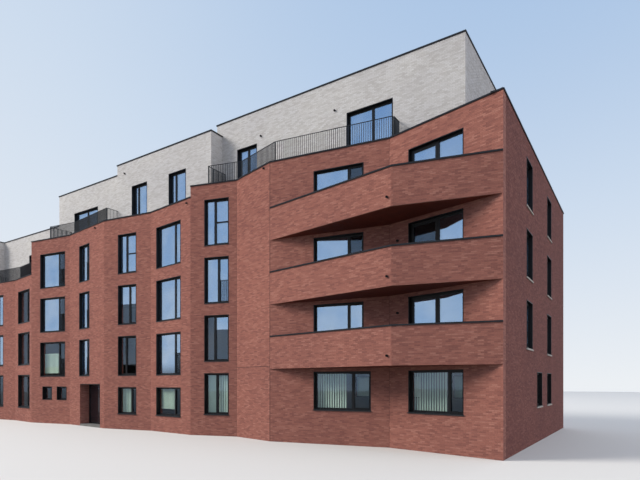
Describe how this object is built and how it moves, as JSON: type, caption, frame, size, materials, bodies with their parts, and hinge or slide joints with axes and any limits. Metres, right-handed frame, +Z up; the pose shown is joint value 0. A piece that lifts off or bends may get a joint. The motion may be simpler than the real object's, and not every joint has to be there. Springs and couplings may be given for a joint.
{
  "type": "apartment block",
  "caption": "Apartment block with a folded brick front in stepped sections, brick balconies at one end, a recessed glazed entrance and a set-back white top storey behind railed terraces",
  "frame": {"origin": "centre of the level underside, halfway along the front and halfway from the front corner line to the back", "axes": "+X along the street front towards the right gable, +Y from the street to the back, +Z up"},
  "size_m": [39.48, 16.1827, 16.75],
  "materials": {
    "red_brick": "matte",
    "white_brick": "matte",
    "coping_metal": "satin",
    "railing_metal": "satin",
    "frame_metal": "satin",
    "window_glass": "gloss",
    "pale_sill": "matte",
    "roof_finish": "matte",
    "concrete": "matte"
  },
  "bodies": {
    "building": {"ground_slab": "concrete", "first_floor": "concrete", "second_floor": "concrete", "third_floor": "concrete", "terrace_floor": "roof_finish", "upper_roof": "roof_finish", "front_wall_a1": "red_brick", "front_wall_a2": "red_brick", "front_wall_a3": "red_brick", "front_wall_a4": "red_brick", "front_wall_b1": "red_brick", "front_wall_b2": "red_brick", "front_wall_b3_piers": "red_brick", "front_wall_b3_over": "red_brick", "front_wall_b4": "red_brick", "front_wall_c1": "red_brick", "front_wall_c2": "red_brick", "right_gable_wall": "red_brick", "left_end_wall": "red_brick", "back_walls": "red_brick", "party_walls": "red_brick", "upper_front_a": "white_brick", "upper_front_b": "white_brick", "upper_front_c": "white_brick", "upper_cross_walls": "white_brick", "upper_back_walls": "white_brick", "parapet_copings": "coping_metal", "roof_copings": "coping_metal", "lower_balcony": "red_brick", "middle_balcony": "red_brick", "upper_balcony": "red_brick", "balcony_copings": "coping_metal", "terrace_railing_a": "railing_metal", "terrace_railing_b": "railing_metal", "terrace_railing_c": "railing_metal", "window_frames_front": "frame_metal", "window_frames_back": "frame_metal", "window_glass_front": "window_glass", "window_glass_back": "window_glass", "gable_sills": "pale_sill", "entrance_frame": "frame_metal", "entrance_glass": "window_glass", "overflow_spouts": "railing_metal"},
    "door_leaf": {"entrance_door": "frame_metal", "door_glass": "window_glass"}
  },
  "joints": [
    {"name": "entrance_door_hinge", "type": "hinge", "parent": "building", "child": "door_leaf", "pos_m": [-3.53186, -6.86101, 1.3], "axis": [0, 0, -1], "range_deg": [0, 90]}
  ]
}
